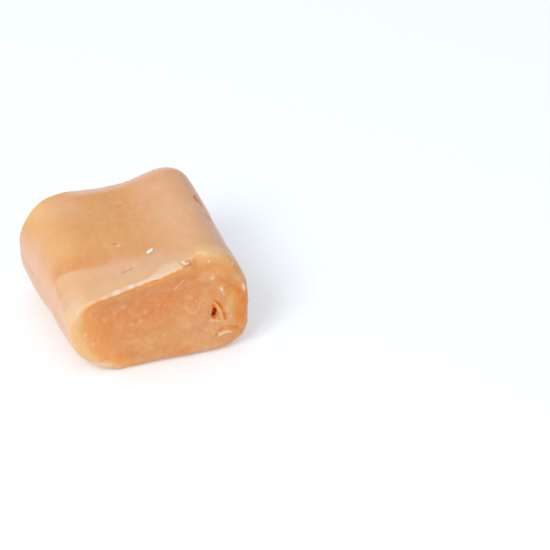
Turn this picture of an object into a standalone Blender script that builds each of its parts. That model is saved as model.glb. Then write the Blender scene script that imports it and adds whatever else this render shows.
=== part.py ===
"""One hand-cut piece of soft butter fudge, as one solid.

The fudge is rolled into a thick, slightly flattened rope and cut across with a knife. The top and the
long sides keep the rope's smooth skin. The two ends are cut faces: the front one (-Y) is hollowed under a
thin lip, where the knife dragged the skin of the top over the cut, and holds an air hole and a slit. The
piece leans: its top climbs from the left to the right, over a shallow valley. X runs across the cut face,
Z is up, and the origin is the middle of the flat base.
"""

import math

import bmesh
import bpy
from mathutils import Euler, Matrix, Vector, noise
from mathutils.bvhtree import BVHTree

MM = 0.001
NAME = "fudge"

# The block's outer size.
WIDTH = 25.6 * MM
DEPTH = 24.0 * MM

# Height of the top skin over the left and the right side, at each cut face.
FRONT_HEIGHTS = (11.0 * MM, 16.6 * MM)
BACK_HEIGHTS = (14.6 * MM, 16.9 * MM)

# Radii of the rope's long edges, at the front cut and at the back cut.
TOP_LEFT_RADII = (3.5 * MM, 6.2 * MM)
TOP_RIGHT_RADII = (6.8 * MM, 4.9 * MM)
BASE_LEFT_RADII = (6.4 * MM, 6.5 * MM)
BASE_RIGHT_RADII = (4.8 * MM, 3.5 * MM)

# At the front cut, the left side leans out at its top and the right side swells out in its lower half.
LEFT_LEAN = 1.9 * MM
RIGHT_SWELL = 0.9 * MM
SWELL_UP = 0.42
SWELL_SPREAD = 0.3

# Rounding of the rims, where the skin turns into a cut face.
LIP_RADIUS = 0.45 * MM
LEFT_RIM_RADIUS = 1.7 * MM
RIGHT_RIM_RADIUS = 2.2 * MM
BASE_RIM_RADIUS = 1.2 * MM
BACK_RIM_RADIUS = 1.5 * MM

# The lip of skin along the top of the front cut. It grows from the left corner and ends in a notch.
LIP_START = -12.8 * MM
LIP_START_BLEND = 3.5 * MM
LIP_END = 4.8 * MM
LIP_END_BLEND = 0.8 * MM
LIP_OUT = 0.45 * MM
LIP_RISE = 0.25 * MM
LIP_THICKNESS = 0.9 * MM

# The hollow of the front cut under the lip, and the low belly below it, by their share of the height.
HOLLOW_DEPTH = 0.6 * MM
HOLLOW_UP = 0.78
HOLLOW_SPREAD = 0.16
BELLY_DEPTH = 0.3 * MM
BELLY_UP = 0.36
BELLY_SPREAD = 0.24

# The valley along the top, deepest at the back.
VALLEY_DEPTHS = (0.1 * MM, 1.1 * MM)
VALLEY_X = 1.8 * MM
VALLEY_SPREAD = 5.0 * MM

# The crease across the top, where its flat front band bends up to the back. It is sharp at the left side,
# runs forwards as it fades to the right, and is straight past CREASE_END.
CREASE_END = 1.0 * MM
CREASE_END_Y = -8.7 * MM
CREASE_CURVE = 0.035 / MM
CREASE_BENDS = (0.7 * MM, 3.0 * MM)

# Soft lumps all over the skin.
LUMP_SIZE = 6.0 * MM
LUMP_DEPTH = 0.16 * MM
LUMP_SEED = 7

# Faces along each side of the block, and the share of them between its two round corners.
FACES_ACROSS, STRAIGHT_ACROSS = 30, 2.0 / 3.0
FACES_DEEP, STRAIGHT_DEEP = 24, 2.0 / 3.0
FACES_HIGH, STRAIGHT_HIGH = 18, 1.0 / 3.0

# The air hole and the slit in the front cut: place (x, z), half sizes, and turn about Y.
HOLE = ((7.4 * MM, 6.6 * MM), (0.38 * MM, 1.5 * MM, 0.8 * MM), -0.12)
SLIT = ((9.3 * MM, 3.5 * MM), (0.95 * MM, 0.9 * MM, 0.24 * MM), 0.14)

# Pits in the right shoulder: place along Y, angle up from the right side, half sizes along it, up and in.
PITS = (
    (3.6 * MM, 0.66, (1.3 * MM, 0.5 * MM, 0.35 * MM)),
    (-1.0 * MM, 0.64, (0.6 * MM, 0.35 * MM, 0.25 * MM)),
    (-4.2 * MM, 0.60, (0.45 * MM, 0.3 * MM, 0.2 * MM)),
)
CUTTER_SEGMENTS = 12
CUTTER_RINGS = 7
OUTSIDE = 40.0 * MM

FUDGE_COLOUR = (0.72, 0.40, 0.20, 1.0)
FUDGE_ROUGHNESS = 0.42


def clear_scene():
    for old in list(bpy.data.objects):
        bpy.data.objects.remove(old, do_unlink=True)


def new_collection(name):
    collection = bpy.data.collections.new(name)
    bpy.context.scene.collection.children.link(collection)
    return collection


def mix(first, second, share):
    return first + (second - first) * share


def ramp(value, start, end):
    """0 before start, 1 past end, and a soft climb between them."""
    share = min(max((value - start) / (end - start), 0.0), 1.0)
    return share * share * (3.0 - 2.0 * share)


def hump(value, middle, spread):
    """1 at the middle, falling away softly to both sides."""
    return math.exp(-(((value - middle) / spread) ** 2))


def climb(distance, bend):
    """Level before 0 and climbing evenly past it, with a soft bend between the two."""
    return bend * math.log1p(math.exp(distance / bend))


def split(place, straight):
    """A place from -1 to 1, as its share of the straight stretch and its share of the corner past it."""
    if abs(place) <= straight:
        return place / straight, 0.0
    corner = (abs(place) - straight) / (1.0 - straight)
    return math.copysign(1.0, place), math.copysign(corner, place)


def section_point(across, along, up, half_width, half_height):
    """A place on the square section, from -1 to 1 both ways, moved on to the one with four round corners."""
    back = ramp(along, -1.0, 1.0)
    right = ramp(across, -STRAIGHT_ACROSS, STRAIGHT_ACROSS)
    upper = ramp(up, -STRAIGHT_HIGH, STRAIGHT_HIGH)
    base_left, base_right = mix(*BASE_LEFT_RADII, back), mix(*BASE_RIGHT_RADII, back)
    top_left, top_right = mix(*TOP_LEFT_RADII, back), mix(*TOP_RIGHT_RADII, back)
    left_radius, right_radius = mix(base_left, top_left, upper), mix(base_right, top_right, upper)
    base_radius, top_radius = mix(base_left, base_right, right), mix(top_left, top_right, right)

    straight_x, corner_x = split(across, STRAIGHT_ACROSS)
    straight_z, corner_z = split(up, STRAIGHT_HIGH)
    x = mix(left_radius - half_width, half_width - right_radius, (straight_x + 1.0) / 2.0)
    z = mix(base_radius - half_height, half_height - top_radius, (straight_z + 1.0) / 2.0)
    x += (right_radius if corner_x > 0.0 else left_radius) * corner_x * math.sqrt(1.0 - corner_z**2 / 2.0)
    z += (top_radius if corner_z > 0.0 else base_radius) * corner_z * math.sqrt(1.0 - corner_x**2 / 2.0)
    return x, z


def on_lip(x, blend):
    return 1.0 - ramp(x, LIP_END - blend, LIP_END + blend)


def rim_radius(x, share_up, along):
    """Radius that turns the skin into a cut face: tight along the lip, soft all the way round elsewhere."""
    if along > 0.0:
        return BACK_RIM_RADIUS
    soft = mix(LEFT_RIM_RADIUS, RIGHT_RIM_RADIUS, ramp(x, 0.0, 0.4 * WIDTH))
    soft = mix(BASE_RIM_RADIUS, soft, ramp(share_up, 0.0, 0.3))
    return mix(soft, LIP_RADIUS, on_lip(x, 2.0 * LIP_END_BLEND) * ramp(share_up, 0.5, 0.9))


def back_share(x, y):
    """How far the top has changed from its front heights to its back ones, all of it past the crease."""
    crease_y = CREASE_END_Y + CREASE_CURVE * max(CREASE_END - x, 0.0) ** 2
    bend = mix(*CREASE_BENDS, ramp(x, -WIDTH / 2.0, CREASE_END))
    return climb(y - crease_y, bend) / climb(DEPTH / 2.0 - crease_y, bend)


def top_height(x, y):
    """Height of the top skin over a point of the base."""
    right = x / WIDTH + 0.5
    height = mix(mix(*FRONT_HEIGHTS, right), mix(*BACK_HEIGHTS, right), back_share(x, y))
    return height - mix(*VALLEY_DEPTHS, y / DEPTH + 0.5) * hump(x, VALLEY_X, VALLEY_SPREAD)


def cut_relief(x, share_up):
    """How far the front cut lies behind its rim: hollow under the lip, and out again in a low belly."""
    inside = 1.0 - ramp(2.0 * abs(x) / WIDTH, 0.5, 0.95)
    hollow = HOLLOW_DEPTH * hump(share_up, HOLLOW_UP, HOLLOW_SPREAD)
    belly = BELLY_DEPTH * hump(share_up, BELLY_UP, BELLY_SPREAD)
    return inside * (hollow - belly)


def block_point(across, along, up):
    """A point of the cube's surface, each place from -1 to 1, moved on to the piece of fudge."""
    half_width = WIDTH / 2.0
    half_depth = DEPTH / 2.0
    half_height = sum(FRONT_HEIGHTS) / 4.0
    x, z = section_point(across, along, up, half_width, half_height)
    share_up = z / (2.0 * half_height) + 0.5

    radius = rim_radius(x, share_up, along)
    straight_y, corner_y = split(along, STRAIGHT_DEEP)
    turn = corner_y * math.pi / 2.0
    y = straight_y * (half_depth - radius) + radius * math.sin(turn)
    inset = radius * (1.0 - math.cos(turn))
    lip_gap = math.hypot(y + half_depth, half_height - z + inset)
    lip = on_lip(x, LIP_END_BLEND) * hump(lip_gap, 0.0, LIP_THICKNESS)
    lip *= ramp(x, LIP_START, LIP_START + LIP_START_BLEND)
    if along <= -1.0:
        y += cut_relief(x, share_up)
    y -= LIP_OUT * lip

    x *= 1.0 - inset / half_width
    z *= 1.0 - inset / half_height
    share_up = z / (2.0 * half_height) + 0.5
    z = share_up * top_height(x, y) + LIP_RISE * lip
    front = 0.5 - y / DEPTH
    x += LEFT_LEAN * (1.0 - share_up) * front * ramp(-across, 0.0, 1.0)
    x += RIGHT_SWELL * hump(share_up, SWELL_UP, SWELL_SPREAD) * front * ramp(across, 0.0, 1.0)
    point = Vector((x, y, z))
    return point + noise.noise_vector(point / LUMP_SIZE) * LUMP_DEPTH * ramp(share_up, 0.0, 0.3)


def cube_grid():
    """A cube from -1 to 1 with its sides cut into a grid."""
    bm = bmesh.new()
    bmesh.ops.create_cube(bm, size=2.0)
    for axis, faces in enumerate((FACES_ACROSS, FACES_DEEP, FACES_HIGH)):
        edges = [e for e in bm.edges if abs(e.verts[0].co[axis] - e.verts[1].co[axis]) > 1.0]
        bmesh.ops.subdivide_edges(bm, edges=edges, cuts=faces - 1, use_grid_fill=True)
    return bm


def fit_to_size(bm):
    """Brings the piece to its named width and depth, with the origin in the middle of its base."""
    for axis, size in ((0, WIDTH), (1, DEPTH)):
        places = [v.co[axis] for v in bm.verts]
        low, high = min(places), max(places)
        for v in bm.verts:
            v.co[axis] = (v.co[axis] - (low + high) / 2.0) * size / (high - low)


def mesh_from(bm, name):
    mesh = bpy.data.meshes.new(name)
    bm.to_mesh(mesh)
    bm.free()
    return mesh


def fudge_material():
    material = bpy.data.materials.new("butter_fudge")
    material.use_nodes = True
    material.diffuse_color = FUDGE_COLOUR
    shader = material.node_tree.nodes["Principled BSDF"]
    shader.inputs["Base Color"].default_value = FUDGE_COLOUR
    shader.inputs["Roughness"].default_value = FUDGE_ROUGHNESS
    shader.inputs["Metallic"].default_value = 0.0
    return material


def make_block(collection):
    """The whole piece before its air holes, and a tree that finds points on its skin."""
    noise.seed_set(LUMP_SEED)
    bm = cube_grid()
    for v in bm.verts:
        v.co = block_point(*v.co)
    fit_to_size(bm)
    bmesh.ops.recalc_face_normals(bm, faces=bm.faces)
    skin = BVHTree.FromBMesh(bm)
    mesh = mesh_from(bm, NAME)
    mesh.shade_smooth()
    mesh.materials.append(fudge_material())
    block = bpy.data.objects.new(NAME, mesh)
    collection.objects.link(block)
    return block, skin


def add_cutter(collection, name, place, half_sizes, turn):
    """An egg-shaped cutter, turned about its own middle."""
    bm = bmesh.new()
    bmesh.ops.create_uvsphere(bm, u_segments=CUTTER_SEGMENTS, v_segments=CUTTER_RINGS, radius=1.0)
    bmesh.ops.scale(bm, vec=half_sizes, verts=bm.verts)
    cutter = bpy.data.objects.new(name, mesh_from(bm, name))
    cutter.matrix_world = Matrix.Translation(place) @ turn.to_matrix().to_4x4()
    cutter.hide_render = True
    cutter.display_type = "WIRE"
    collection.objects.link(cutter)


def cut_holes_in_front(collection, skin):
    for name, ((x, z), half_sizes, turn) in (("hole_cutter", HOLE), ("slit_cutter", SLIT)):
        place = skin.ray_cast(Vector((x, -OUTSIDE, z)), Vector((0.0, 1.0, 0.0)))[0]
        add_cutter(collection, name, place, half_sizes, Euler((0.0, -turn, 0.0)))


def cut_shoulder_pits(collection, skin):
    middle_height = sum(FRONT_HEIGHTS) / 4.0
    for index, (y, angle, half_sizes) in enumerate(PITS):
        outwards = Vector((math.cos(angle), 0.0, math.sin(angle)))
        middle = Vector((0.0, y, middle_height))
        place = skin.ray_cast(middle + outwards * OUTSIDE, -outwards)[0]
        length, height, depth = half_sizes
        name = f"pit_cutter_{index + 1}"
        add_cutter(collection, name, place, (depth, length, height), Euler((0.0, -angle, 0.0)))


def main():
    clear_scene()
    parts = new_collection("fudge_piece")
    cutters = new_collection("cutters")
    block, skin = make_block(parts)
    cut_holes_in_front(cutters, skin)
    cut_shoulder_pits(cutters, skin)
    air_holes = block.modifiers.new("air_holes", "BOOLEAN")
    air_holes.operation = "DIFFERENCE"
    air_holes.operand_type = "COLLECTION"
    air_holes.collection = cutters
    air_holes.solver = "EXACT"


main()
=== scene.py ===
"""A hand-cut piece of soft butter fudge on a pale studio floor.

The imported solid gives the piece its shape. Here it becomes one fine skin that carries the finer
relief: the torn edge of the lip, the fold and the scratches of the knife, the ridge beside the air
hole, the rounded foot, the pits, and the seams that the rolling left. A flake of sugar, a curl of
fudge and grains of sugar lie on it as pieces of their own.
"""

import math
import random
from collections import namedtuple

import bmesh
import bpy
import numpy as np
from mathutils import Matrix, Vector, noise
from mathutils.bvhtree import BVHTree


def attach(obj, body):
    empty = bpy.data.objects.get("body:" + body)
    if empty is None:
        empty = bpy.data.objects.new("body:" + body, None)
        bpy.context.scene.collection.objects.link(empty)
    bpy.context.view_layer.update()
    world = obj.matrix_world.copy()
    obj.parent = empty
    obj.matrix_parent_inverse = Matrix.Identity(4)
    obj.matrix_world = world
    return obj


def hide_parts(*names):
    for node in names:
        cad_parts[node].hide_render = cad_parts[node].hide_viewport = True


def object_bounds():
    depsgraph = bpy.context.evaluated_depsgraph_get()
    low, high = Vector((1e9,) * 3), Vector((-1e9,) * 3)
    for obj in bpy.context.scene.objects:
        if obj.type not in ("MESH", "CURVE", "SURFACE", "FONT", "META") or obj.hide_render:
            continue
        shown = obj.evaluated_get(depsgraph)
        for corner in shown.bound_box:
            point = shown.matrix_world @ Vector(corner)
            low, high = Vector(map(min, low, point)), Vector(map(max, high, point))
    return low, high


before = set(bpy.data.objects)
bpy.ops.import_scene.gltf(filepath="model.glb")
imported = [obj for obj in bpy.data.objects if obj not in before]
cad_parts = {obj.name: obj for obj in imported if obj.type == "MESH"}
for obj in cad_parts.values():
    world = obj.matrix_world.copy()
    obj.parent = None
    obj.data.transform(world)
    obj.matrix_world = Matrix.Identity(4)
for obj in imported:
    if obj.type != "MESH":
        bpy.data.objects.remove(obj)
solid_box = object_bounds()

MM = 0.001

# Camera: a long lens, from the front left and above. The slides move it sideways and upwards
# without turning it.
CAMERA_AZIMUTH = -19.6
CAMERA_ELEVATION = 33.0
CAMERA_DISTANCE = 516.1 * MM
CAMERA_SLIDE_RIGHT = 18.94 * MM
CAMERA_SLIDE_UP = 5.87 * MM
CAMERA_LENS = 250.0

# Skin: size of its faces, and how far the solid's own faces are smoothed out.
SKIN_FACE = 0.235 * MM
SMOOTHING_ROUNDS = 12


# ---------------------------------------------------------------- small helpers


def colour(code):
    """An sRGB hex colour as linear RGBA."""
    shares = [int(code[i : i + 2], 16) / 255.0 for i in (1, 3, 5)]
    return [s / 12.92 if s <= 0.04045 else ((s + 0.055) / 1.055) ** 2.4 for s in shares] + [1.0]


def add_node(tree, kind, inputs=None, **settings):
    """Adds one node. Each input takes a value or the output of another node."""
    made = tree.nodes.new(kind)
    for name, value in settings.items():
        setattr(made, name, value)
    for name, value in (inputs or {}).items():
        if isinstance(value, bpy.types.NodeSocket):
            tree.links.new(value, made.inputs[name])
        else:
            made.inputs[name].default_value = value
    return made


def ramp(values, start, end):
    """0 before start, 1 past end, and a soft climb between them."""
    share = np.clip((values - start) / (end - start), 0.0, 1.0)
    return share * share * (3.0 - 2.0 * share)


def hump(values, middle, spread):
    """1 at the middle, falling away softly to both sides."""
    return np.exp(-(((values - middle) / spread) ** 2))


def lumps(points, size, shift=0.0, stretch=(1.0, 1.0, 1.0)):
    """Soft noise from about -1 to 1 at points in mm: lumps of that size, drawn out along each axis."""
    scale = Vector([1.0 / (size * s) for s in stretch])
    offset = Vector((shift, -shift, 0.5 * shift))
    return np.array([noise.noise(Vector(p) * scale + offset) for p in points.tolist()])


def stroke(across, up, line, width):
    """1 along the middle of a line of points in the plane, falling away softly over its half width."""
    nearest = np.full(len(across), 1e9)
    for (x0, y0), (x1, y1) in zip(line[:-1], line[1:]):
        dx, dy = x1 - x0, y1 - y0
        share = np.clip(((across - x0) * dx + (up - y0) * dy) / (dx * dx + dy * dy), 0.0, 1.0)
        nearest = np.minimum(nearest, np.hypot(across - x0 - share * dx, up - y0 - share * dy))
    return np.exp(-((nearest / width) ** 2))


# ---------------------------------------------------------------- skin


def skin_from_solid(node):
    """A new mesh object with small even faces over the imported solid."""
    bm = bmesh.new()
    bm.from_mesh(node.data)
    bmesh.ops.remove_doubles(bm, verts=bm.verts, dist=1e-6)
    mesh = bpy.data.meshes.new("fudge_skin")
    bm.to_mesh(mesh)
    bm.free()
    skin = bpy.data.objects.new("fudge_skin", mesh)
    bpy.context.scene.collection.objects.link(skin)
    remesh = skin.modifiers.new("even_faces", "REMESH")
    remesh.mode = "VOXEL"
    remesh.voxel_size = SKIN_FACE
    graph = bpy.context.evaluated_depsgraph_get()
    fine = bpy.data.meshes.new_from_object(skin.evaluated_get(graph))
    skin.modifiers.clear()
    skin.data = fine
    return skin


def read_points(mesh):
    """Points of a mesh in mm."""
    points = np.empty(len(mesh.vertices) * 3)
    mesh.vertices.foreach_get("co", points)
    return points.reshape(-1, 3) / MM


def write_points(mesh, points):
    mesh.vertices.foreach_set("co", (points * MM).astype(np.float32).ravel())
    mesh.update()


def read_normals(mesh):
    normals = np.empty(len(mesh.vertices) * 3, np.float32)
    mesh.vertex_normals.foreach_get("vector", normals)
    return normals.reshape(-1, 3).astype(float)


# Share of the way to its neighbours' middle that a point goes, out and back again.
EVEN_OUT = 0.6
SWELL_BACK = -0.62


def smooth(mesh, points, rounds):
    """Evens the points out and back again, so that facets go and the size stays."""
    edges = np.empty(len(mesh.edges) * 2, np.int32)
    mesh.edges.foreach_get("vertices", edges)
    edges = edges.reshape(-1, 2)
    count = np.bincount(edges.ravel(), minlength=len(points))[:, None]
    for step in range(2 * rounds):
        total = np.zeros_like(points)
        for axis in range(3):
            total[:, axis] = np.bincount(edges[:, 0], points[edges[:, 1], axis], len(points))
            total[:, axis] += np.bincount(edges[:, 1], points[edges[:, 0], axis], len(points))
        points = points + (EVEN_OUT if step % 2 == 0 else SWELL_BACK) * (total / count - points)
    return points


def refine(mesh, near):
    """Splits each face whose middle passes the test near(points) into four."""
    bm = bmesh.new()
    bm.from_mesh(mesh)
    bm.faces.ensure_lookup_table()
    middles = np.array([f.calc_center_median() for f in bm.faces]) / MM
    chosen = near(middles)
    edges = {e for f, take in zip(bm.faces, chosen.tolist()) if take for e in f.edges}
    bmesh.ops.subdivide_edges(bm, edges=list(edges), cuts=1, use_grid_fill=True)
    bm.to_mesh(mesh)
    bm.free()


# ---------------------------------------------------------------- marks

# A mark is a soft line pressed into the skin or raised from it: its points, its half width and its
# height in mm, the tone it lays on the skin (some tones are painted light and shade), and how much of
# it.
Mark = namedtuple("Mark", "line width height finish share")

# On the front cut, points are (x, z).
FRONT_MARKS = (
    # The fold, where the round right shoulder was pushed over the flat of the cut.
    # Painted shade lies in the crease of the fold, and a painted amber glow near the thin right edge.
    Mark(((1.6, 12.6), (5.6, 12.8), (8.0, 11.9), (10.3, 10.3)), 0.70, -0.10, "deep_tone_and_shade", 0.14),
    Mark(((2.6, 12.3), (4.2, 12.45), (5.9, 12.6)), 0.17, -0.08, "deep_tone_and_shade", 0.65),
    Mark(((8.2, 11.6), (9.2, 10.9), (10.3, 10.1), (11.2, 9.2)), 0.20, -0.08, "deep_tone_and_shade", 0.45),
    Mark(((9.7, 9.7), (10.6, 9.0), (11.0, 8.2)), 0.65, 0.0, "amber_glow", 0.45),
    # Painted shade: a darker band across the hollow below the lip.
    Mark(((1.7, 10.6), (1.0, 9.6), (0.0, 8.9), (-1.4, 8.4), (-3.1, 8.0)), 0.75, -0.03, "deep_tone_and_shade", 0.55),
    # A broad swelling beside the thin right edge of the cut.
    # Over the swelling lie a painted yellow glow and small painted highlights.
    Mark(((9.6, 8.8), (9.8, 7.2), (9.5, 5.4)), 0.75, 0.10, "honey_and_glow", 0.35),
    Mark(((9.15, 7.0), (9.2, 6.6)), 0.30, 0.05, "bloom_and_sheen", 0.5),
    Mark(((9.6, 5.6), (9.75, 5.5)), 0.14, 0.05, "pale", 0.4),
    # The air hole's funnel, and the ridge and the groove to its right.
    # Their colours are painted: amber and red glow in the hollows, yellow glow on the ridge and the
    # ledge.
    Mark(((7.45, 7.6), (7.55, 6.2)), 0.36, -0.10, "amber_glow", 0.9),
    Mark(((7.5, 6.4), (7.56, 6.05)), 0.30, -0.38, "pit_glow_and_shade", 1.0),
    Mark(((7.35, 7.65), (7.45, 7.1)), 0.20, -0.12, "amber_glow", 0.8),
    Mark(((7.7, 7.9), (8.3, 6.9), (8.7, 5.7)), 0.55, 0.0, "amber_glow", 0.5),
    Mark(((7.7, 8.0), (8.05, 7.2), (8.35, 6.4), (8.55, 5.6)), 0.20, 0.16, "honey_and_glow", 1.0),
    Mark(((7.55, 8.4), (8.1, 7.9), (8.6, 7.0), (8.9, 6.0), (8.95, 5.4)), 0.19, -0.22, "amber_glow", 1.0),
    Mark(((7.0, 5.7), (7.6, 5.35), (8.2, 5.25)), 0.24, 0.12, "honey_and_glow", 0.95),
    Mark(((8.6, 5.15), (8.75, 4.85)), 0.24, 0.10, "glow", 0.9),
    # The slit, and the curl of fudge below it.
    # A painted amber glow in the slit.
    Mark(((8.2, 3.65), (9.2, 3.9), (9.9, 3.6), (10.5, 3.1)), 0.28, -0.20, "amber_glow", 1.0),
    Mark(((8.15, 3.1), (8.6, 3.3), (9.25, 3.2)), 0.20, 0.22, "pale", 0.8),
    # Scratches of the knife.
    Mark(((2.15, 11.0), (2.45, 11.4)), 0.10, 0.06, "pale", 0.5),
    Mark(((2.45, 11.4), (3.0, 11.75), (3.4, 12.1)), 0.055, 0.03, "pale", 0.3),
    Mark(((3.0, 11.75), (3.03, 11.78)), 0.10, 0.05, "pale", 0.5),
    Mark(((3.3, 12.05), (3.45, 12.15)), 0.11, 0.05, "pale", 0.5),
    Mark(((4.6, 7.0), (4.9, 7.5), (5.4, 8.3), (6.1, 8.8)), 0.085, 0.04, "pale", 0.28),
    Mark(((5.1, 5.3), (5.7, 4.5), (6.4, 3.9)), 0.085, 0.04, "pale", 0.25),
    Mark(((3.9, 7.4), (3.2, 8.6)), 0.08, 0.03, "pale", 0.2),
    Mark(((6.86, 14.22), (7.1, 14.42)), 0.085, 0.10, "pale", 1.0),
    Mark(((10.25, 12.98), (10.38, 13.05)), 0.11, 0.08, "pale", 0.8),
    Mark(((-10.1, 6.2), (-10.5, 5.4)), 0.09, 0.04, "pale", 0.3),
    # Small smears of soft fudge with painted highlights on them, and a painted yellow glow on the
    # round right shoulder.
    Mark(((8.45, 10.15), (8.55, 9.8)), 0.22, 0.16, "pale", 0.85),
    Mark(((8.6, 9.6), (8.8, 9.0)), 0.13, 0.08, "pale", 0.4),
    Mark(((7.25, 11.95), (7.35, 12.05)), 0.22, 0.14, "pale", 0.85),
    Mark(((6.2, 11.8), (7.3, 11.9)), 0.42, 0.04, "bloom_and_sheen", 0.22),
    Mark(((11.5, 9.9), (11.8, 8.9)), 0.19, 0.10, "pale", 0.9),
    Mark(((10.7, 11.5), (11.2, 10.5), (11.6, 9.4)), 0.40, 0.0, "honey_and_glow", 0.65),
    Mark(((-10.4, 6.95), (-10.2, 7.2)), 0.20, 0.08, "bloom_and_sheen", 0.6),
    # A crack at the lower left with painted shade in it, and the smear under it.
    Mark(((-8.6, 2.3), (-7.9, 2.35), (-7.0, 2.6)), 0.10, -0.12, "deep_tone_and_shade", 0.6),
    Mark(((-8.8, 1.8), (-7.2, 1.5)), 0.45, 0.06, "pale", 0.5),
)

# On the top, points are (x, y).
TOP_MARKS = (
    # A nick in the flat band behind the lip, with painted shade in it, and a crumb of fudge thrown up
    # at its end.
    Mark(((-3.8, -8.0), (-3.3, -7.9), (-2.7, -7.7)), 0.22, -0.15, "deep_tone_and_shade", 0.6),
    Mark(((-2.45, -7.45), (-2.0, -7.4)), 0.13, 0.12, "pale", 0.75),
    # A pit with painted shade in it, a grain beside it with a painted highlight, and a small blister
    # further back.
    Mark(((-3.15, -1.85), (-2.95, -1.95)), 0.19, -0.18, "deep_tone_and_shade", 1.0),
    Mark(((-2.8, -2.5), (-2.7, -2.5)), 0.20, 0.14, "pale", 0.8),
    # The blister: a painted shadow in the groove on one side and a painted highlight on the other.
    Mark(((-0.6, 6.3), (0.0, 6.1), (0.6, 6.2)), 0.17, -0.07, "deep_tone_and_shade", 0.35),
    Mark(((-0.3, 6.8), (0.2, 6.9), (0.6, 6.7)), 0.15, 0.08, "pale", 0.3),
    # The thin edge behind the notch at the lip's end, with a painted yellow glow and highlight, and
    # the torn specks on it.
    Mark(((4.3, -9.7), (4.9, -10.1), (5.5, -9.9)), 0.55, 0.0, "honey_and_glow", 0.75),
    Mark(((4.5, -10.5), (4.95, -10.2)), 0.17, 0.05, "pale", 0.5),
    Mark(((5.65, -9.9), (5.95, -9.9)), 0.15, 0.12, "pale", 0.95),
    Mark(((6.4, -10.0), (6.75, -10.3)), 0.17, 0.14, "pale", 0.8),
    Mark(((7.2, -10.2), (7.7, -10.5), (8.3, -10.3)), 0.42, 0.04, "pale", 0.5),
)

# Pits along the right shoulder, with painted shade in them, also as (x, y).
SHOULDER_MARKS = (
    Mark(((10.2, 4.3), (10.45, 3.4), (10.45, 2.3)), 0.22, -0.24, "deep_tone_and_shade", 0.7),
    Mark(((10.4, -0.2), (10.7, -0.8)), 0.20, -0.26, "deep_tone_and_shade", 0.7),
    Mark(((10.9, -3.6), (10.95, -3.9)), 0.15, -0.16, "shade", 1.0),
    Mark(((10.2, 9.7), (10.5, 9.0)), 0.20, -0.12, "shade", 0.8),
)

# On the left side, points are (y, z): two seams that the rolling left along the rope.
LEFT_MARKS = (
    # The raised seam carries a painted sheen, the sunk one painted shade.
    Mark(((-10.5, 8.6), (-3.0, 9.6), (9.0, 9.9)), 0.35, 0.07, "bloom_and_sheen", 0.5),
    Mark(((-9.0, 6.4), (2.0, 7.2), (10.0, 7.0)), 0.45, -0.08, "deep_tone_and_shade", 0.12),
)

# On the right side, points are (y, z) as well: a seam, a dent of the tray and a scuff.
RIGHT_MARKS = (
    # The raised seam carries a painted sheen, its groove and the dent painted shade.
    Mark(((-10.0, 9.4), (-2.0, 8.8), (8.0, 9.3)), 0.40, 0.06, "bloom_and_sheen", 0.4),
    Mark(((-8.0, 5.6), (1.0, 5.0), (10.5, 5.5)), 0.50, -0.09, "deep_tone_and_shade", 0.15),
    Mark(((3.5, 3.2), (5.2, 2.9)), 0.60, -0.12, "shade", 0.3),
    Mark(((-3.6, 7.4), (-2.4, 7.1), (-1.6, 7.2)), 0.20, 0.05, "pale", 0.35),
)

# On the back cut, points are (x, z): a fold, an air hole, scratches and smears.
BACK_MARKS = (
    # Painted shade in the fold and in the groove at the lower left, and a painted amber glow in the
    # air hole.
    Mark(((-9.5, 7.5), (-6.0, 9.2), (-1.0, 9.8), (3.5, 9.3)), 0.60, -0.12, "deep_tone_and_shade", 0.30),
    Mark(((-9.0, 8.0), (-6.0, 9.5), (-2.0, 10.1)), 0.25, -0.08, "deep_tone_and_shade", 0.5),
    Mark(((5.6, 4.6), (5.9, 4.2)), 0.30, -0.35, "amber_glow", 0.9),
    Mark(((5.2, 3.9), (5.9, 3.6), (6.5, 3.8)), 0.22, 0.12, "pale", 0.45),
    Mark(((-4.6, 4.4), (-3.2, 5.4), (-2.2, 5.8)), 0.19, 0.05, "pale", 0.25),
    Mark(((1.2, 7.0), (2.6, 7.9)), 0.19, 0.05, "pale", 0.22),
    Mark(((-8.4, 3.0), (-7.2, 2.6), (-6.0, 2.7)), 0.22, -0.12, "deep_tone_and_shade", 0.6),
    Mark(((7.8, 7.8), (8.4, 8.8)), 0.24, 0.10, "pale", 0.5),
    Mark(((-0.8, 2.4), (0.6, 2.2)), 0.35, 0.07, "pale", 0.35),
)

# No mark is quite straight or even: they wander by this much, in mm, and thin out here and there.
WANDER = 0.11
WANDER_SIZE = 0.8


def add_tone_and_light(finish, name, share):
    """Gives the points more of a tone, painted light among them, where the new share is above the old
    one.
    """
    finish[name] = np.maximum(finish[name], share)


def press(marks, across, up, mask, finish):
    """Height in mm that these marks add at each point, and their tones and painted light, where the
    mask lets them.
    """
    flat = np.column_stack([across, up, np.zeros_like(up)])
    across = across + WANDER * lumps(flat, WANDER_SIZE, 5.0)
    up = up + WANDER * lumps(flat, WANDER_SIZE, 15.0)
    strength = np.clip(0.95 + 0.6 * lumps(flat, WANDER_SIZE, 25.0), 0.5, 1.0)
    height = np.zeros_like(across)
    for mark in marks:
        share = stroke(across, up, mark.line, mark.width) * mask * strength
        height += mark.height * share
        add_tone_and_light(finish, mark.finish, mark.share * share)
    return height


# ---------------------------------------------------------------- relief

# The lip runs between these places of x. Near its end it grows into a tongue, then steps back to
# the round shoulder.
LIP_LEFT = -12.3
TONGUE = (-1.8, 1.6)
TONGUE_END = 2.95
LIP_RIGHT = 4.7

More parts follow.
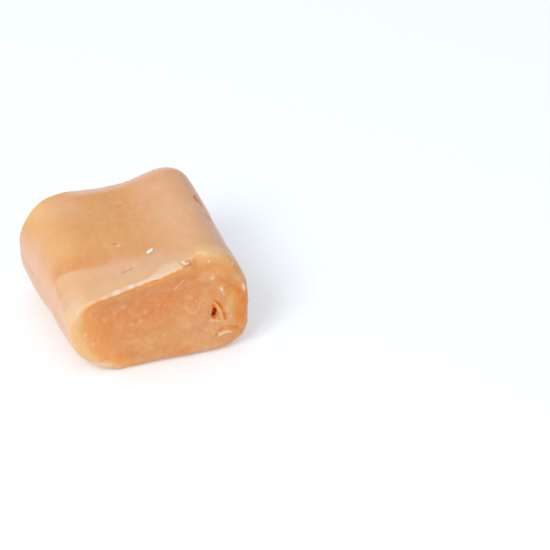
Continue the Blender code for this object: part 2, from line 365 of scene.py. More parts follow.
# The edge of the cut face. Its left side lies inside the round rim: x over z. Right of the lip it
# runs over the round shoulder: z over x.
LEFT_EDGE = (
    (1.0, -6.0),
    (2.4, -8.5),
    (4.0, -9.8),
    (6.0, -10.7),
    (8.0, -11.1),
    (10.0, -11.1),
    (11.5, -10.4),
)
SHOULDER_EDGE = (
    (4.7, 14.7),
    (5.8, 15.2),
    (7.7, 14.9),
    (9.2, 14.2),
    (10.4, 13.2),
    (11.3, 11.8),
    (12.1, 9.5),
)

# The thin right edge of the cut, where light glows through, as (x, z), and its half width.
RIGHT_EDGE = ((11.2, 9.1), (11.6, 7.2), (11.2, 4.9))
RIGHT_EDGE_WIDTH = 0.9

# Blobs of sugar that show through the front cut: (x, z).
BLOBS = (
    (-2.0, 8.5),
    (0.4, 4.7),
    (-6.2, 9.1),
    (-10.4, 6.9),
    (-4.9, 9.8),
    (-9.4, 5.3),
    (-2.8, 7.3),
    (-1.5, 3.0),
)
BLOB_SIZE = 0.26

# The crease across the top behind the lip: y over x.
CREASE = (
    (-12.0, -2.0),
    (-11.3, -2.5),
    (-8.2, -4.3),
    (-5.5, -5.2),
    (-2.0, -5.8),
    (3.0, -6.3),
    (8.0, -7.2),
)
CREASE_DEPTH = 0.10

# The air hole and the slit as ovals on the front cut: middle (x, z), half sizes, how far each is
# filled up, and its painted glow. Around them the skin is rough by so much.
HOLES = (
    ((7.5, 6.45), (0.66, 1.0), 0.20, "pit_glow_and_shade"),
    ((9.4, 3.55), (1.6, 0.62), 0.85, "amber_glow"),
)
HOLE_ROUGHNESS = 0.16

# The y that a hole's depth is counted from, just behind the flat of the cut.
CUT_PLANE = -11.75

# The foot of both cuts is rounded up to this height. The cuts lie this far from the middle.
FOOT_ROUNDING = 0.9
HALF_DEPTH = 12.0

# The heel of the right front corner: how high it is, its half height and how far it stands out.
HEEL_MIDDLE = 2.1
HEEL_HALF_HEIGHT = 2.2
HEEL_BULGE = 0.97

# Where a point of the skin is: in mm from the edges of the cut, and 0 to 1 for each side.
Zones = namedtuple("Zones", "edge_y edge_z inside below front cut back_cut top left flank right")


def along(x, line):
    """Height of a line of points over each place x."""
    return np.interp(x, *zip(*line))


def lip_line(points):
    """Place (y, z) of the front cut's top edge over every half millimetre of x."""
    places = np.arange(-12.5, 12.51, 0.5)
    edge = []
    for x in places:
        near = points[np.abs(points[:, 0] - x) < 0.3]
        best = near[np.argmax(near[:, 2] - near[:, 1])]
        edge.append(best[1:])
    return places, np.array(edge)


def find_zones(points, normals):
    x, y, z = points.T
    places, edge = lip_line(points)
    edge_y = np.interp(x, places, edge[:, 0])
    edge_z = np.interp(x, places, edge[:, 1])
    inside = x - along(z, LEFT_EDGE) + 0.15 * lumps(points, 1.1, 61.0)
    past_lip = ramp(x, LIP_RIGHT - 1.2, LIP_RIGHT + 0.6)
    cut_top = edge_z + (along(x, SHOULDER_EDGE) - edge_z) * past_lip
    below = cut_top + 0.08 * lumps(points, 1.3, 51.0) - z

    # The cut ends sharply at the lip and softly over the round shoulder and the round left rim.
    softness = 0.12 + 0.2 * ramp(x, 3.6, 5.0) + 0.9 * ramp(x, 5.8, 7.5)
    softness += 0.6 * (1.0 - ramp(x, -10.5, -7.0))
    front = ramp(-normals[:, 1], 0.1, 0.4) * ramp(-y, 8.5, 9.5)
    cut = front * ramp(below, -softness, softness) * ramp(inside, -0.6, 0.7)
    back_corner = ramp(y, 5.0, 10.0) * ramp(z, 8.0, 12.0)
    return Zones(
        edge_y,
        edge_z,
        inside,
        below,
        front,
        cut,
        back_cut=ramp(normals[:, 1], 0.45, 0.85) * ramp(y, 9.0, 10.0),
        top=ramp(normals[:, 2], 0.4, 0.7) * (1.0 - cut),
        left=ramp(-normals[:, 0], 0.4, 0.8),
        flank=ramp(-normals[:, 0], 0.6, 1.0) * ramp(-x, 8.0, 10.0) * (1.0 - back_corner),
        right=ramp(normals[:, 0], 0.3, 0.8) * ramp(x, 8.5, 10.5),
    )


def unevenness(points, zones):
    """Lumps all over, fine streaks along the rope on its skin, and knife drag across the cuts."""
    cuts = zones.cut + zones.back_cut
    height = 0.12 * lumps(points, 4.2, 3.0) + 0.05 * lumps(points, 1.5, 7.0)
    height += (1.0 - cuts) * 0.05 * lumps(points, 1.1, 21.0, (1.0, 7.0, 1.0))
    height += cuts * 0.07 * lumps(points, 0.9, 33.0, (4.0, 1.0, 1.0))
    height += cuts * 0.06 * lumps(points, 0.6, 41.0)
    return height


def shape_lip(points, zones, finish):
    """How far the lip moves each point: a ragged rim that stands forward over a sharp hollow."""
    x, y, z = points.T
    shift = np.zeros_like(points)
    left_end = ramp(x, LIP_LEFT - 0.3, LIP_LEFT + 1.5)
    on_lip = left_end * (1.0 - ramp(x, LIP_RIGHT - 0.2, LIP_RIGHT + 0.1))
    on_lip *= ramp(z - zones.edge_z, -4.0, -3.0)
    tongue = ramp(x, *TONGUE) * (1.0 - ramp(x, TONGUE_END - 0.2, TONGUE_END + 0.1))
    past_tongue = ramp(x, TONGUE_END, TONGUE_END + 0.3) * on_lip
    only_x = points * (1.0, 0.0, 0.0)
    ragged = 0.5 * lumps(only_x, 1.9, 3.0) + 0.35 * lumps(only_x, 0.6, 9.0)
    ragged += 0.2 * lumps(points, 0.3, 13.0)
    ragged *= 1.0 - 0.85 * tongue

    # Distance from the edge over the skin: behind it positive, down the front negative.
    behind = (y - zones.edge_y) - (zones.edge_z - z)
    rim_end = 1.0 - ramp(behind, 0.5 + tongue, 1.1 + 1.5 * tongue)
    rim = on_lip * ramp(behind, -0.5, -0.22) * rim_end
    shift[:, 1] -= rim * (0.08 + 0.22 * ragged + 0.04 * tongue - 0.30 * past_tongue)
    shift[:, 2] += rim * (0.10 + 0.10 * ragged + 0.04 * tongue)
    hollow = zones.cut * ramp(x, -10.5, -7.0) * ramp(zones.below, 0.25, 0.75)
    hollow *= 1.0 - ramp(x, LIP_RIGHT - 2.0, LIP_RIGHT + 0.6)
    hollow *= 1.0 - ramp(zones.below, 1.3, 4.2)
    shift[:, 1] += 0.15 * hollow

    # Painted highlight and glow on the thin rim: pale, crisp and patchy in its middle, soft and yellow
    # at its left end.
    width = 0.48 + 0.40 * ragged + 1.70 * tongue - 0.25 * past_tongue
    width += 0.7 * (1.0 - ramp(x, -11.5, -8.5))
    blur = 0.14 + 0.5 * (1.0 - ramp(x, -10.5, -7.0)) + 0.9 * tongue
    low = -0.42 + 0.15 * tongue
    band = on_lip * ramp(behind, low, low + 0.12)
    band *= 1.0 - ramp(behind, width - blur, width + blur)
    band *= 1.0 - past_tongue
    band *= 1.0 - 0.5 * ramp(lumps(only_x, 0.8, 29.0), -0.1, 0.5) * (1.0 - ramp(x, -2.5, -1.0))
    yellow = 1.0 - ramp(x, -9.5, -4.5)
    paleness = (0.80 + 0.4 * ragged) * (1.0 - 0.45 * tongue - 0.7 * yellow)
    add_tone_and_light(finish, "pale", band * paleness)
    add_tone_and_light(finish, "honey_and_glow", band * np.maximum(0.9 * tongue, 0.55 * yellow))
    # A painted yellow glow on the top just behind the rim.
    add_tone_and_light(finish, "honey_and_glow", 0.55 * on_lip * hump(behind, 1.4, 1.2) * zones.top)

    # Right of the tongue the edge is notched back to bare fudge.
    notch = past_tongue * ramp(behind, -1.2, -0.6) * (1.0 - ramp(behind, 0.3, 0.6))
    notch *= 1.0 - ramp(x, LIP_RIGHT - 1.0, LIP_RIGHT)
    # Over the bare fudge of the notch lies a painted yellow glow.
    add_tone_and_light(finish, "cut", notch)
    add_tone_and_light(finish, "honey_and_glow", 0.5 * notch)
    add_tone_and_light(finish, "glow", 0.35 * notch)

    # Under the lip light glows through.
    glow = ramp(x, LIP_LEFT, LIP_LEFT + 1.5) * (0.45 + 0.40 * ramp(x, -6.0, -1.0))
    glow *= 1.0 - ramp(x, LIP_RIGHT - 2.7, LIP_RIGHT - 0.2)
    add_tone_and_light(finish, "glow", glow * zones.cut * hump(zones.below, 0.8, 0.8))
    return shift


def fill_holes(points, finish):
    """How far the holes are filled up and roughened, and the warm light that comes out of them."""
    x, y, z = points.T
    shift = np.zeros_like(points)
    depth = np.clip(y - CUT_PLANE, 0.0, 4.0) * ramp(-y, 6.0, 7.0)
    for (hole_x, hole_z), (half_x, half_z), filled, name in HOLES:
        away = np.hypot((x - hole_x) / half_x, (z - hole_z) / half_z)
        near = 1.0 - ramp(away, 0.9, 1.3)
        around = (1.0 - ramp(away, 1.2, 2.2)) * ramp(-y, 9.0, 10.0)
        shift[:, 1] -= filled * depth * near
        shift[:, 1] += HOLE_ROUGHNESS * lumps(points, 0.42, 131.0) * around
        # The painted glow and shade inside each hole.
        add_tone_and_light(finish, name, near * ramp(depth, 0.15, 0.4))
    return shift


def tint_top(points, normals, zones, skin, cloud, finish):
    """Painted sheen and some sugar bloom on the skin, painted shade behind the crease's left end and
    on the right shoulder.
    """
    x, y, z = points.T
    behind_crease = y - along(x, CREASE) + 0.25 * lumps(points, 2.0, 81.0)
    spread = 0.5 + 1.8 * ramp(x, -10.0, -4.0)
    in_front = zones.top * (1.0 - ramp(behind_crease, -spread, spread))
    in_front *= 1.0 - ramp(x, 3.0, 8.0)
    right_half = zones.top * ramp(x, -1.0, 6.0)
    back_rim = ramp(y, 9.0, 10.8) * ramp(z, 7.0, 12.0) * ramp(normals[:, 2], 0.1, 0.5)
    back_rim *= ramp(x, -8.5, -4.0)
    back_left = zones.top * hump(x, -7.5, 2.5) * hump(y, 8.5, 2.5)
    right = zones.right * (0.5 - 0.35 * ramp(-y, 8.0, 10.5) * ramp(z, 8.0, 11.0))
    # Painted sheen, with some sugar bloom: the band in front of the crease, the right half, the left
    # flank, the back rim, the back left and the right side.
    bloom_and_sheen = [
        0.42 * in_front,
        0.30 * right_half,
        0.50 * zones.flank,
        0.95 * back_rim,
        0.35 * back_left,
        right,
    ]
    add_tone_and_light(finish, "bloom_and_sheen", np.maximum.reduce(bloom_and_sheen) * skin * cloud)

    # Painted shade behind the crease's left end, where the top tilts away from the light.
    behind = zones.top * ramp(behind_crease, -0.3, 0.4) * (1.0 - ramp(behind_crease, 0.5, 4.0))
    behind *= 1.0 - ramp(x, -9.0, -2.0)
    add_tone_and_light(finish, "deep_tone_and_shade", 0.40 * behind * cloud)

    # Painted shade: mauve on the right shoulder, where it turns away from the light.
    mauve = ramp(normals[:, 0], 0.1, 0.6) * ramp(x, 7.5, 10.5)
    mauve *= ramp(z, 6.0, 10.0) * ramp(y, -10.0, -7.5)
    add_tone_and_light(finish, "shade", 0.55 * mauve * skin * cloud)


def tint_edges(points, zones, skin, cloud, finish):
    """Painted glow where the piece is thin: yellow on the shoulders, the back corner and the cut's
    rim.
    """
    x, y, z = points.T
    shoulder = ramp(-x, 5.0, 11.0) * ramp(z, 8.0, 12.0) * (1.0 - zones.flank)
    rim = ramp(-y, 8.5, 9.5) * (1.0 - ramp(zones.inside, 0.0, 1.3)) * (1.0 - ramp(x, -5.0, -3.0))
    right_shoulder = ramp(x, 4.6, 6.0) * ramp(-y, 7.5, 9.5) * hump(zones.below, -0.4, 1.4)
    right_shoulder *= 1.0 - zones.right
    back_corner = hump(x, -10.5, 2.5) * ramp(y, 6.0, 10.0) * ramp(z, 9.0, 12.0)
    honey_and_glow = [0.42 * shoulder * skin, 0.62 * rim, 0.78 * right_shoulder, 0.6 * back_corner]
    add_tone_and_light(finish, "honey_and_glow", np.maximum.reduce(honey_and_glow) * cloud)

    # Painted highlights on the upper left corner of the cut.
    corner = hump(x, -11.2, 1.3) * hump(z, 10.3, 1.3) * ramp(-y, 8.0, 9.5) * (1.0 - zones.cut)
    add_tone_and_light(finish, "pale", 0.40 * corner * ramp(lumps(points, 1.2, 91.0), -0.6, 0.3))
    # A painted glow just inside the cut's rim, and a painted amber glow along its thin right edge.
    add_tone_and_light(finish, "glow", 0.50 * zones.cut * hump(zones.inside, 1.3, 1.6) * cloud)
    thin_edge = zones.front * stroke(x, z, RIGHT_EDGE, RIGHT_EDGE_WIDTH)
    add_tone_and_light(finish, "amber_glow", np.clip(1.5 * thin_edge * cloud, 0.0, 1.0))


def tint_front(points, zones, cloud, finish):
    """The front cut: painted shade in the hollow below the lip, and a painted yellow glow on the belly
    and the brow.
    """
    x, _, z = points.T
    # Painted shade in the hollow below the lip.
    hollow = zones.cut * ramp(zones.below, 0.9, 1.8) * (1.0 - ramp(zones.below, 4.0, 7.5))
    hollow *= ramp(zones.inside, 0.8, 2.5) * (1.0 - ramp(x, 4.0, 9.0))
    hollow *= 0.4 + 0.6 * ramp(x, -10.0, -5.0)
    add_tone_and_light(finish, "deep_tone_and_shade", 0.28 * hollow * cloud)
    blobs = [hump(np.hypot(x - blob_x, z - blob_z), 0.0, BLOB_SIZE) for blob_x, blob_z in BLOBS]
    add_tone_and_light(finish, "pale", 0.28 * zones.cut * np.maximum.reduce(blobs) * cloud)
    # A painted yellow glow on the belly and the brow.
    belly = zones.cut * ramp(-z, -7.0, -3.5) * ramp(x, -7.0, 0.0)
    brow = zones.cut * ramp(x, 4.5, 6.5) * hump(z, 13.0, 1.4)
    add_tone_and_light(finish, "honey_and_glow", np.maximum(0.22 * belly, 0.18 * brow) * cloud)
    add_tone_and_light(finish, "glow", 0.18 * brow * cloud)

    # Mottles, where the caramel was not stirred through.
    mottle = lumps(points, 2.4, 141.0, (1.8, 1.0, 1.0)) + 0.5 * lumps(points, 0.9, 151.0)
    add_tone_and_light(finish, "deep_tone_and_shade", 0.30 * zones.cut * ramp(mottle, 0.0, 0.7))
    add_tone_and_light(finish, "bloom_and_sheen", 0.22 * zones.cut * ramp(-mottle, 0.05, 0.7))


def tint_cuts(points, zones, finish):
    """Both cuts: moist fudge, with a haze of sugar that the knife drew out along its way."""
    x, _, z = points.T
    drag = 0.5 + 0.5 * lumps(points, 1.4, 111.0, (3.5, 1.0, 1.0))
    haze = 0.6 * zones.cut * ramp(x, 1.0, 4.5) * (1.0 - ramp(x, 7.5, 9.5)) * hump(z, 5.5, 3.5)
    haze += 0.8 * zones.back_cut
    clouds = ramp(lumps(points, 3.2, 121.0), -0.1, 0.6)
    add_tone_and_light(finish, "bloom_and_sheen", 0.45 * haze * drag)
    add_tone_and_light(finish, "deep_tone_and_shade", 0.55 * zones.back_cut * clouds)
    add_tone_and_light(finish, "cut", np.maximum(zones.cut, 0.9 * zones.back_cut))


def tint(points, normals, zones, finish):
    """The broad tones and the painted light and shade of the skin and of the cuts."""
    cloud = 1.0 + 0.35 * lumps(points, 2.2, 71.0)
    skin = (1.0 - zones.cut) * (1.0 - finish["pit_glow_and_shade"])
    tint_top(points, normals, zones, skin, cloud, finish)
    tint_edges(points, zones, skin, cloud, finish)
    tint_front(points, zones, cloud, finish)
    tint_cuts(points, zones, finish)


def relief(points, normals):
    """The points of the skin, moved to carry its fine relief, and the tones and painted light of each
    by name.
    """
    x, y, z = points.T
    finish = {name: np.zeros_like(x) for name, _ in TONES_AND_LIGHT}
    zones = find_zones(points, normals)
    height = unevenness(points, zones)
    height += press(FRONT_MARKS, x, z, zones.front, finish)
    height += press(TOP_MARKS, x, y, zones.top, finish)
    height += press(SHOULDER_MARKS, x, y, ramp(z, 10.0, 12.0) * (1.0 - zones.cut), finish)
    height += press(LEFT_MARKS, y, z, zones.left, finish)
    height += press(RIGHT_MARKS, y, z, zones.right, finish)
    height += press(BACK_MARKS, x, z, zones.back_cut, finish)

    # The crease is a shallow groove, and the cut face is sunk a little inside its round left rim.
    crease = hump(y - along(x, CREASE), 0.0, 0.6) * (1.0 - ramp(x, -9.0, -3.0))
    height -= CREASE_DEPTH * zones.top * crease
    sunk = ramp(zones.inside, -0.6, 0.9) * (1.0 - ramp(zones.inside, 2.0, 6.0))
    height -= 0.07 * zones.cut * sunk * ramp(zones.below, 0.2, 1.0)
    moved = points + normals * (height * ramp(z, 0.0, 0.6))[:, None]

    # The foot of both cuts is rounded, so that the piece stands on a slightly smaller face.
    up = np.clip(z / FOOT_ROUNDING, 0.0, 1.0)
    drawn_in = FOOT_ROUNDING * (1.0 - np.sqrt(1.0 - (1.0 - up) ** 2))
    moved[:, 1] *= 1.0 - drawn_in / HALF_DEPTH
    moved += shape_lip(points, zones, finish) + fill_holes(points, finish)

    # The heel, where the right end of the cut was pressed outwards as the piece was set down.
    heel = hump(z, HEEL_MIDDLE, HEEL_HALF_HEIGHT) * ramp(z, 0.0, 0.8)
    moved[:, 0] += HEEL_BULGE * heel * ramp(x, 8.0, 10.5) * ramp(-y, 4.0, 10.0)
    tint(points, normals, zones, finish)
    return moved, finish


def keep_inside(points, low, high):
    """Draws in any point that stands outside the box."""
    return np.clip(points, np.array(low) / MM, np.array(high) / MM)


def give_tone_and_light(mesh, finish):
    for name, values in finish.items():
        attribute = mesh.attributes.new(name, "FLOAT", "POINT")
        attribute.data.foreach_set("value", values.astype(np.float32))


# ---------------------------------------------------------------- crumbs

# Path of the curl over the lip's end: x, y, z and its half width.
CURL_PATH = (
    (3.30, -10.66, 14.97, 0.10),
    (3.40, -10.84, 14.93, 0.20),
    (3.55, -11.05, 14.84, 0.25),
    (3.76, -11.18, 14.77, 0.18),
    (4.08, -11.14, 14.73, 0.09),
    (4.45, -10.98, 14.73, 0.06),
)
CURL_SIDES = 8
CURL_FLATNESS = 0.8

# The flake: where it lies on the top, its half sizes and how it is turned.
FLAKE_PLACE = (0.6, -5.6)
FLAKE_SIZES = (0.64, 0.29, 0.13)
FLAKE_TURN = math.radians(36.0)

# Grains of sugar: how many are scattered over each side, and their half size.
FRONT_SPECKS = 55
BACK_SPECKS = 50
TOP_SPECKS = 35
SPECK_SIZES = (0.03, 0.08)
SEED = 11

# Where they lie closer together, how many lie there, and how far the crowd spreads. On the top,
# places are (x, y), and on the front (x, z).
TOP_CLUSTERS = (((2.0, 4.0), 14), ((1.5, -1.5), 10), ((5.6, 6.0), 6))
TOP_SPREAD = 1.6
FRONT_CLUSTERS = (((4.4, 8.6), 12), ((-2.5, 6.5), 8), ((7.0, 9.0), 8), ((-8.5, 5.5), 8))
FRONT_SPREAD = 0.9

# Rays that look for the skin start this far from the middle, in mm.
FAR = 40.0


def rough_ball(bm, matrix, detail):
    """Adds a small rough ball to the mesh."""
    made = bmesh.ops.create_icosphere(bm, subdivisions=detail, radius=1.0)["verts"]
    for v in made:
        v.co *= 1.0 + 0.22 * noise.noise(v.co * 1.7 + matrix.translation * 900.0)
    bmesh.ops.transform(bm, matrix=matrix, verts=made)


def on_front(tree, x, z):
    return tree.ray_cast(Vector((x, -FAR, z)) * MM, Vector((0.0, 1.0, 0.0)))


def on_back(tree, x, z):
    return tree.ray_cast(Vector((x, FAR, z)) * MM, Vector((0.0, -1.0, 0.0)))


def on_top(tree, x, y):
    return tree.ray_cast(Vector((x, y, FAR)) * MM, Vector((0.0, 0.0, -1.0)))


def seat(place, normal, sizes, turn, sunk):
    """Matrix that lays a unit ball on the skin: scaled in mm, turned, and partly sunk in."""
    stand = Vector((0.0, 0.0, 1.0)).rotation_difference(normal).to_matrix().to_4x4()
    scale = Matrix.Diagonal((*[s * MM for s in sizes], 1.0))
    centre = place + normal * sizes[2] * (1.0 - 2.0 * sunk) * MM
    return Matrix.Translation(centre) @ stand @ Matrix.Rotation(turn, 4, "Z") @ scale


def make_specks(tree):
    """Grains of sugar that stand in the skin, most of them in the freshly cut front."""
    draw = random.Random(SEED)
    bm = bmesh.new()
    places = []
    for _ in range(FRONT_SPECKS):
        places.append(on_front(tree, draw.uniform(-10.5, 11.0), draw.uniform(1.2, 13.5)))
    for (x, z), count in FRONT_CLUSTERS:
        for _ in range(count):
            places.append(on_front(tree, draw.gauss(x, FRONT_SPREAD), draw.gauss(z, FRONT_SPREAD)))
    for _ in range(TOP_SPECKS):
        places.append(on_top(tree, draw.uniform(-10.0, 9.5), draw.uniform(-9.5, 10.0)))
    for (x, y), count in TOP_CLUSTERS:
        for _ in range(count):
            places.append(on_top(tree, draw.gauss(x, TOP_SPREAD), draw.gauss(y, TOP_SPREAD)))
    for _ in range(BACK_SPECKS):
        places.append(on_back(tree, draw.uniform(-10.0, 10.0), draw.uniform(1.5, 11.5)))
    for place, normal, _, _ in places:
        size = draw.uniform(*SPECK_SIZES) * draw.uniform(0.6, 1.2)
        sizes = (size * draw.uniform(0.8, 1.5), size, size * 0.7)
        rough_ball(bm, seat(place, normal, sizes, draw.uniform(0.0, math.pi), 0.35), detail=1)
    return finish_piece(bm, "sugar_specks", sugar_grain())


def make_flake(tree):
    """One flat flake of sugar lying on the top."""
    place, normal, _, _ = on_top(tree, *FLAKE_PLACE)
    bm = bmesh.new()
    rough_ball(bm, seat(place, normal, FLAKE_SIZES, FLAKE_TURN, 0.25), detail=3)
    return finish_piece(bm, "sugar_flake", sugar_flake())


def make_curl():
    """A shaving of fudge that the knife turned up at the end of the lip."""
    path = [Vector(point[:3]) * MM for point in CURL_PATH]
    bm = bmesh.new()
    rings = []
    for index, place in enumerate(path):
        ahead = (path[min(index + 1, len(path) - 1)] - path[max(index - 1, 0)]).normalized()
        beside = ahead.cross(Vector((0.0, 0.0, 1.0))).normalized()
        over = beside.cross(ahead)
        size = CURL_PATH[index][3] * MM
        ring = []
        for side in range(CURL_SIDES):
            turn = 2.0 * math.pi * side / CURL_SIDES
            out = beside * math.cos(turn) + over * CURL_FLATNESS * math.sin(turn)
            ring.append(bm.verts.new(place + out * size))
        rings.append(ring)
    for first, second in zip(rings[:-1], rings[1:]):
        for side in range(CURL_SIDES):
            following = (side + 1) % CURL_SIDES
            bm.faces.new((first[side], first[following], second[following], second[side]))
    bm.faces.new(rings[0][::-1])
    bm.faces.new(rings[-1])
    bmesh.ops.recalc_face_normals(bm, faces=bm.faces)
    bmesh.ops.subdivide_edges(bm, edges=bm.edges, cuts=1, smooth=0.6)
    return finish_piece(bm, "lip_curl", fudge_shaving())


def finish_piece(bm, name, material):
    """Makes the mesh a piece of its own that belongs to the fudge."""
    mesh = bpy.data.meshes.new(name)
    bm.to_mesh(mesh)
    bm.free()
    write_points(mesh, keep_inside(read_points(mesh), *solid_box))
    mesh.shade_smooth()
    mesh.materials.append(material)
    piece = bpy.data.objects.new(name, mesh)
    bpy.context.scene.collection.objects.link(piece)
    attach(piece, "root")
    return piece


# ---------------------------------------------------------------- materials

# The caramel of the rolled skin, its marbling, and the sugar that shows through.
SKIN_DARK = "#D5914F"
SKIN_LIGHT = "#DCAA71"
MARBLING = "#E9B98A"
SUGAR_DOT = "#F2D2A8"

# The tones of the marks, many of them painted light and shade, laid over the caramel in this order.
TONES_AND_LIGHT = (
    ("cut", "#D58F4E"),
    # Painted shade, mauve.
    ("shade", "#C08877"),
    # Sugar bloom with a painted sheen.
    ("bloom_and_sheen", "#E5C2B1"),
    # A honey tone, mostly a painted glow through thin edges and on lit shoulders.
    ("honey_and_glow", "#E6BC82"),
    # A deeper tone, and painted shade in hollows, creases, grooves and pits.
    ("deep_tone_and_shade", "#D0733A"),
    # A painted amber glow, through thin fudge and out of hollows.
    ("amber_glow", "#DC820C"),
    # A painted glow of light through the fudge.
    ("glow", "#F0A24C"),
    # Pale cream, and painted highlights.
    ("pale", "#E3D8C8"),
    # A painted red glow and shade deep in the air hole.
    ("pit_glow_and_shade", "#E2560A"),
)


def mix_colours(tree, share, first, second):
    inputs = {"Factor": share, 6: first, 7: second}
    return add_node(tree, "ShaderNodeMix", inputs, data_type="RGBA", clamp_factor=True).outputs[2]


def noise_at(tree, place, scale, detail):
    inputs = {"Vector": place, "Scale": scale, "Detail": detail}
    return add_node(tree, "ShaderNodeTexNoise", inputs).outputs["Fac"]


def rescale(tree, value, start, end, low, high):
    """Spreads the values from start to end over low to high."""
    inputs = {"Value": value, 1: start, 2: end, 3: low, 4: high}
    return add_node(tree, "ShaderNodeMapRange", inputs).outputs["Result"]


def butter_fudge():
    """Milk, butter and sugar boiled to caramel: waxy, dense and a little see-through, satin skin."""
    material = bpy.data.materials.new("butter_fudge")
    material.use_nodes = True
    tree = material.node_tree
    shader = tree.nodes["Principled BSDF"]
    place = add_node(tree, "ShaderNodeTexCoord").outputs["Object"]

    # Lighter and darker caramel, pulled through each other in clouds of 6 mm.
    batch = noise_at(tree, place, 160.0, 3.0)
    tone = mix_colours(tree, batch, colour(SKIN_DARK), colour(SKIN_LIGHT))
    for name, code in TONES_AND_LIGHT:
        share = add_node(tree, "ShaderNodeAttribute", attribute_name=name).outputs["Fac"]
        tone = mix_colours(tree, share, tone, colour(code))

    # Finer marbling of 1.1 mm.
    marble = rescale(tree, noise_at(tree, place, 900.0, 3.0), 0.45, 0.75, 0.0, 0.28)
    tone = mix_colours(tree, marble, tone, colour(MARBLING))

    # Clots of sugar right below the surface, 0.8 mm apart, show through as pale dots here and there.
    clots = add_node(tree, "ShaderNodeTexVoronoi", {"Vector": place, "Scale": 1300.0})
    dot = rescale(tree, clots.outputs["Distance"], 0.04, 0.18, 0.5, 0.0)
    chance = add_node(tree, "ShaderNodeSeparateColor", {"Color": clots.outputs["Color"]})
    few = rescale(tree, chance.outputs["Red"], 0.55, 1.0, 0.0, 1.0)
    dots = add_node(tree, "ShaderNodeMath", {0: dot, 1: few}, operation="MULTIPLY")
    tone = mix_colours(tree, dots.outputs["Value"], tone, colour(SUGAR_DOT))
    tree.links.new(tone, shader.inputs["Base Color"])

    # Grain of fine sugar, drawn at 0.25 mm and so coarser than real.
    grain = noise_at(tree, place, 4000.0, 2.0)
    relief_of_grain = {"Strength": 0.35, "Distance": 0.02 * MM, "Height": grain}
    bump = add_node(tree, "ShaderNodeBump", relief_of_grain)
    tree.links.new(bump.outputs["Normal"], shader.inputs["Normal"])
    shader.inputs["Roughness"].default_value = 0.42
    shader.inputs["IOR"].default_value = 1.47
    shader.inputs["Subsurface Weight"].default_value = 0.55
    shader.inputs["Subsurface Radius"].default_value = (1.0, 0.35, 0.15)
    shader.inputs["Subsurface Scale"].default_value = 1.0 * MM
    return material


def sugar_material(name, code, other_code, roughness):
    """Sugar or dried fudge, cloudy over 0.3 mm."""
    material = bpy.data.materials.new(name)
    material.use_nodes = True
    tree = material.node_tree
    shader = tree.nodes["Principled BSDF"]
    place = add_node(tree, "ShaderNodeTexCoord").outputs["Object"]
    cloud = noise_at(tree, place, 3000.0, 2.0)
    tone = mix_colours(tree, cloud, colour(code), colour(other_code))
    tree.links.new(tone, shader.inputs["Base Color"])
    shader.inputs["Roughness"].default_value = roughness
    shader.inputs["IOR"].default_value = 1.54
    return material


def sugar_flake():
    """Sugar that set as a dry crust: white and nearly opaque."""
    return sugar_material("set_sugar", "#E2E2E6", "#F0EEEC", 0.5)


def sugar_grain():
    """Sugar grains soaked in caramel: cream, with the fudge showing through."""
    return sugar_material("sugar_grain", "#E6B07A", "#F1CFA4", 0.35)


def fudge_shaving():
    """A shaving of fudge so thin that it dried pale."""
    return sugar_material("dry_fudge", "#E2CBB0", "#EDDDC9", 0.55)


def studio_floor():
    """Matt white card, a shade cool. It gives off a little light, so that it stays near white."""
    material = bpy.data.materials.new("white_card")
    material.use_nodes = True
    tree = material.node_tree
    shader = tree.nodes["Principled BSDF"]
    place = add_node(tree, "ShaderNodeTexCoord").outputs["Object"]
    # The card's pulp, drawn at 1.1 mm and so coarser than real.
    pulp = noise_at(tree, place, 900.0, 3.0)
    tone = mix_colours(tree, pulp, colour("#E6EFF8"), colour("#E8F0F9"))
    tree.links.new(tone, shader.inputs["Base Color"])
    shader.inputs["Roughness"].default_value = 0.9
    shader.inputs["Specular IOR Level"].default_value = 0.0
    shader.inputs["Emission Color"].default_value = colour("#FFFCF9")
    shader.inputs["Emission Strength"].default_value = 0.19
    return material


# ---------------------------------------------------------------- studio

# The soft light: where it hangs and how large it is, in m, its power and its tint.
SOFTBOX_PLACE = (-0.32, -0.27, 0.38)
SOFTBOX_SIZE = 0.25
SOFTBOX_POWER = 1.55
SOFTBOX_TINT = "#FFFDF9"

# The light of the room, and the height of the piece's middle over the floor.
ROOM_TINT = "#FBFBFC"
ROOM_LIGHT = 0.74
MIDDLE_HEIGHT = 8.0 * MM

FLOOR_HALF_SIZE = 1.5


def set_camera():
    azimuth, elevation = math.radians(CAMERA_AZIMUTH), math.radians(CAMERA_ELEVATION)
    back = Vector(
        (
            math.sin(azimuth) * math.cos(elevation),
            -math.cos(azimuth) * math.cos(elevation),
            math.sin(elevation),
        )
    )
    right = Vector((math.cos(azimuth), math.sin(azimuth), 0.0))
    up = back.cross(right)
    data = bpy.data.cameras.new("camera")
    data.lens = CAMERA_LENS
    data.sensor_width = 36.0
    data.clip_start = 10.0 * MM
    data.clip_end = 5.0
    camera = bpy.data.objects.new("camera", data)
    camera.location = back * CAMERA_DISTANCE + right * CAMERA_SLIDE_RIGHT + up * CAMERA_SLIDE_UP
    camera.rotation_euler = Matrix((right, up, back)).transposed().to_euler()
    bpy.context.scene.collection.objects.link(camera)
    bpy.context.scene.camera = camera


def add_softbox():
    """A square soft light that faces the middle of the piece."""
    data = bpy.data.lights.new("key_softbox", "AREA")
    data.shape = "RECTANGLE"
    data.size = SOFTBOX_SIZE
    data.size_y = SOFTBOX_SIZE
    data.energy = SOFTBOX_POWER
    data.color = colour(SOFTBOX_TINT)[:3]
    light = bpy.data.objects.new("key_softbox", data)
    light.location = SOFTBOX_PLACE
    away = Vector(SOFTBOX_PLACE) - Vector((0.0, 0.0, MIDDLE_HEIGHT))
    light.rotation_euler = away.to_track_quat("Z", "Y").to_euler()
    bpy.context.scene.collection.objects.link(light)


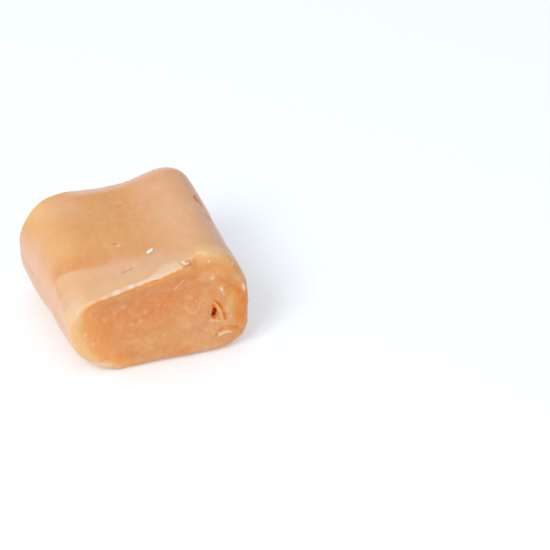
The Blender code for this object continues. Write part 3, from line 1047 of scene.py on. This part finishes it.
def add_floor():
    mesh = bpy.data.meshes.new("floor")
    bm = bmesh.new()
    bmesh.ops.create_grid(bm, x_segments=8, y_segments=8, size=FLOOR_HALF_SIZE)
    bm.to_mesh(mesh)
    bm.free()
    mesh.materials.append(studio_floor())
    floor = bpy.data.objects.new("floor", mesh)
    bpy.context.scene.collection.objects.link(floor)


def set_studio():
    scene = bpy.context.scene
    scene.view_settings.view_transform = "Standard"
    world = bpy.data.worlds.new("studio_air")
    world.use_nodes = True
    air = world.node_tree.nodes["Background"]
    air.inputs["Color"].default_value = colour(ROOM_TINT)
    air.inputs["Strength"].default_value = ROOM_LIGHT
    scene.world = world
    add_softbox()
    add_floor()


# ---------------------------------------------------------------- making

# Marks on the top that need finer faces: a line of (x, y), and how far around it.
FINE_TOP_LINES = (
    (((-3.8, -7.9), (-1.9, -7.5)), 0.8),
    (((-3.0, -1.9), (-2.8, -2.5)), 0.5),
    (((5.6, -9.9), (8.0, -10.3)), 0.5),
)

# The front cut lies in front of this y, and the top above this z.
FRONT_FROM = -10.4
TOP_FROM = 10.0


def near_cut(points):
    """The front cut, and the places on the top that carry marks."""
    x, y, z = points.T
    on_marks = np.zeros(len(x), bool)
    for line, reach in FINE_TOP_LINES:
        on_marks |= stroke(x, y, line, reach) > 0.4
    return (y < FRONT_FROM) | (on_marks & (z > TOP_FROM))


def near_fine_marks(points):
    """The lip, the air hole with its ridge and groove, and the slit."""
    x, y, z = points.T
    lip = (np.abs(z - 13.9 - 0.27 * x) < 0.8) & (np.abs(x + 4.0) < 9.0)
    hole = np.hypot(x - 7.9, (z - 6.5) / 1.5) < 1.3
    slit = (np.abs(x - 9.4) < 1.7) & (np.abs(z - 3.3) < 0.8)
    return (y < FRONT_FROM) & (lip | hole | slit)


def make_skin():
    skin = skin_from_solid(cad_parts["fudge"])
    write_points(skin.data, smooth(skin.data, read_points(skin.data), SMOOTHING_ROUNDS))
    refine(skin.data, near_cut)
    refine(skin.data, near_fine_marks)
    points, finish = relief(read_points(skin.data), read_normals(skin.data))
    write_points(skin.data, keep_inside(points, *solid_box))
    give_tone_and_light(skin.data, finish)
    skin.data.shade_smooth()
    skin.data.materials.clear()
    skin.data.materials.append(butter_fudge())
    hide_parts("fudge")
    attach(skin, "root")
    return skin


def surface_of(skin):
    """The skin as a tree that rays can be cast at."""
    bm = bmesh.new()
    bm.from_mesh(skin.data)
    tree = BVHTree.FromBMesh(bm)
    bm.free()
    return tree


set_camera()
set_studio()
surface = surface_of(make_skin())
make_specks(surface)
make_flake(surface)
make_curl()
